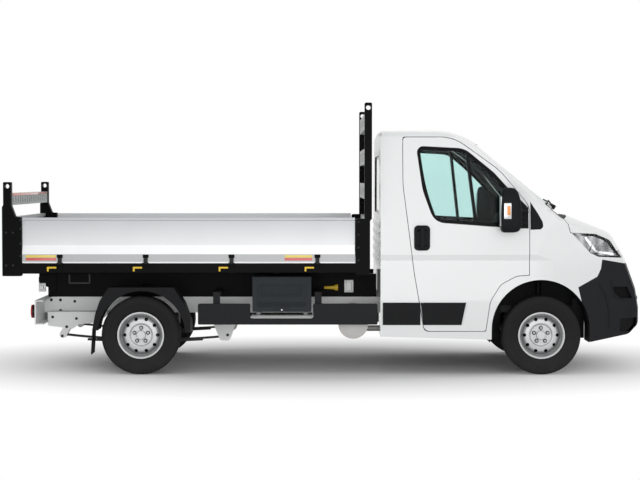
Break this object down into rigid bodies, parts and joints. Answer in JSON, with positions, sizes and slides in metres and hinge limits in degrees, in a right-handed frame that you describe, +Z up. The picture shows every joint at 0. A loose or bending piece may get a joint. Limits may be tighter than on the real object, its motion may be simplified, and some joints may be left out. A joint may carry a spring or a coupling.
{
  "type": "light tipper truck",
  "caption": "Light tipper truck: short-nosed cab, ladder frame, dropside tipping bed with slotted rack beams, opening doors, steered front wheels and a telescopic ram.",
  "frame": {"origin": "on the ground under the middle of the truck's length and width", "axes": "+X the way the truck drives, +Y its left side, +Z up"},
  "size_m": [6.133, 2.4888, 2.572],
  "materials": {
    "white_paint": "glossy white paint",
    "frame_white": "satin pale grey-white paint, road dust",
    "black_steel": "satin black paint",
    "spring_steel": "dull dark grey steel",
    "dark_plastic": "grained black plastic",
    "bumper_grey": "grained dark grey plastic",
    "panel_grey": "satin light grey paint",
    "rack_grey": "satin mid grey paint",
    "deck_steel": "worn bare steel",
    "tinted_glass": "clear green tint",
    "lamp_clear": "clear lens over a bright reflector",
    "lamp_red": "red lens",
    "tyre_rubber": "dull black rubber",
    "wheel_steel": "silver painted steel",
    "seat_cloth": "dark grey cloth",
    "cabin_plastic": "dark grey cabin plastic",
    "engine_iron": "plain casting",
    "signal_yellow": "yellow paint",
    "bright_steel": "ground steel",
    "exhaust_steel": "dull plated steel"
  },
  "bodies": {
    "chassis": {"chassis_frame": "frame_white", "tipper_subframe": "black_steel", "rear_axle": "black_steel", "leaf_springs": "spring_steel", "front_suspension": "black_steel", "engine_block": "engine_iron", "exhaust": "exhaust_steel", "fuel_tank": "dark_plastic", "side_guards": "bumper_grey", "mudguards": "dark_plastic", "mud_flaps": "dark_plastic", "rear_lamps": "lamp_red", "body_prop": "signal_yellow", "toolbox_case": "dark_plastic", "cab_floor": "dark_plastic", "cab_side_right": "white_paint", "cab_side_left": "white_paint", "cab_roof": "white_paint", "cab_rear_wall": "white_paint", "cab_trims": "dark_plastic", "arch_liners": "dark_plastic", "dashboard": "cabin_plastic", "seats": "seat_cloth", "steering_wheel": "cabin_plastic", "windscreen": "tinted_glass", "rear_window": "tinted_glass", "scuttle": "dark_plastic", "front_wings": "white_paint", "headlamps": "lamp_clear", "front_bumper": "bumper_grey"},
    "bed": {"bed_frame": "black_steel", "bed_deck": "deck_steel", "bed_posts": "black_steel", "headboard": "panel_grey", "rack_beams": "rack_grey", "rope_hooks": "signal_yellow"},
    "bonnet": {"bonnet": "white_paint"},
    "tailgate": {"tailgate": "panel_grey"},
    "toolbox_lid": {"toolbox_lid": "dark_plastic"},
    "ram_barrel": {"ram_barrel": "black_steel"},
    "ram_middle": {"ram_middle": "bright_steel"},
    "ram_last": {"ram_last": "bright_steel"},
    "door_right": {"door_right_panel": "white_paint", "door_right_glass": "tinted_glass", "door_right_fittings": "dark_plastic"},
    "dropside_right": {"dropside_right": "panel_grey"},
    "knuckle_right": {"knuckle_right": "spring_steel"},
    "wheel_front_right": {"tyre_front_right": "tyre_rubber", "rim_front_right": "wheel_steel"},
    "wheel_rear_right": {"tyre_rear_right": "tyre_rubber", "rim_rear_right": "wheel_steel"},
    "door_left": {"door_left_panel": "white_paint", "door_left_glass": "tinted_glass", "door_left_fittings": "dark_plastic"},
    "dropside_left": {"dropside_left": "panel_grey"},
    "knuckle_left": {"knuckle_left": "spring_steel"},
    "wheel_front_left": {"tyre_front_left": "tyre_rubber", "rim_front_left": "wheel_steel"},
    "wheel_rear_left": {"tyre_rear_left": "tyre_rubber", "rim_rear_left": "wheel_steel"}
  },
  "joints": [
    {"name": "steer_left", "type": "hinge", "parent": "chassis", "child": "knuckle_left", "pos_m": [2.0265, 0.845, 0.372], "axis": [0, 0, 1], "range_deg": [-35, 35]},
    {"name": "steer_right", "type": "hinge", "parent": "chassis", "child": "knuckle_right", "pos_m": [2.0265, -0.845, 0.372], "axis": [0, 0, 1], "range_deg": [-35, 35]},
    {"name": "spin_front_right", "type": "hinge", "parent": "knuckle_right", "child": "wheel_front_right", "pos_m": [2.0265, -0.905, 0.372], "axis": [0, 1, 0], "continuous": true},
    {"name": "spin_rear_right", "type": "hinge", "parent": "chassis", "child": "wheel_rear_right", "pos_m": [-1.7735, -0.895, 0.372], "axis": [0, 1, 0], "continuous": true},
    {"name": "spin_front_left", "type": "hinge", "parent": "knuckle_left", "child": "wheel_front_left", "pos_m": [2.0265, 0.905, 0.372], "axis": [0, 1, 0], "continuous": true},
    {"name": "spin_rear_left", "type": "hinge", "parent": "chassis", "child": "wheel_rear_left", "pos_m": [-1.7735, 0.895, 0.372], "axis": [0, 1, 0], "continuous": true},
    {"name": "door_right_swing", "type": "hinge", "parent": "chassis", "child": "door_right", "pos_m": [1.89, -1.013, 1.2], "axis": [0, 0, 1], "range_deg": [0, 70]},
    {"name": "door_left_swing", "type": "hinge", "parent": "chassis", "child": "door_left", "pos_m": [1.89, 1.013, 1.2], "axis": [0, 0, -1], "range_deg": [0, 70]},
    {"name": "bonnet_lift", "type": "hinge", "parent": "chassis", "child": "bonnet", "pos_m": [2.285, 0, 1.52], "axis": [0, -1, 0], "range_deg": [0, 55]},
    {"name": "bed_tip", "type": "hinge", "parent": "chassis", "child": "bed", "pos_m": [-2.79, 0, 0.88], "axis": [0, -1, 0], "range_deg": [0, 45]},
    {"name": "dropside_right_drop", "type": "hinge", "parent": "bed", "child": "dropside_right", "pos_m": [-1.3, -1.06, 1.06], "axis": [1, 0, 0], "range_deg": [0, 175]},
    {"name": "dropside_left_drop", "type": "hinge", "parent": "bed", "child": "dropside_left", "pos_m": [-1.3, 1.06, 1.06], "axis": [-1, 0, 0], "range_deg": [0, 175]},
    {"name": "tailgate_swing", "type": "hinge", "parent": "bed", "child": "tailgate", "pos_m": [-3.0305, 0, 1.475], "axis": [0, 1, 0], "range_deg": [0, 90]},
    {"name": "toolbox_lid_lift", "type": "hinge", "parent": "chassis", "child": "toolbox_lid", "pos_m": [-0.434, -0.9853, 0.925], "axis": [-1, 0, 0], "range_deg": [0, 90]},
    {"name": "ram_tilt", "type": "hinge", "parent": "chassis", "child": "ram_barrel", "pos_m": [-1.97432, 0, 0.49964], "axis": [0, -1, 0], "range_deg": [0, 22.51]},
    {"name": "ram_middle_slide", "type": "slide", "parent": "ram_barrel", "child": "ram_middle", "axis": [0.1736, 0, 0.9848], "range_m": [0, 0.31505]},
    {"name": "ram_last_slide", "type": "slide", "parent": "ram_middle", "child": "ram_last", "axis": [0.1736, 0, 0.9848], "range_m": [0, 0.31505]}
  ],
  "couplings": [
    {"joint": "steer_right", "follows": "steer_left", "ratio": 1},
    {"joint": "ram_tilt", "follows": "bed_tip", "ratio": 0.5},
    {"joint": "ram_middle_slide", "follows": "bed_tip", "m_per_rad": 0.401},
    {"joint": "ram_last_slide", "follows": "bed_tip", "m_per_rad": 0.401}
  ]
}
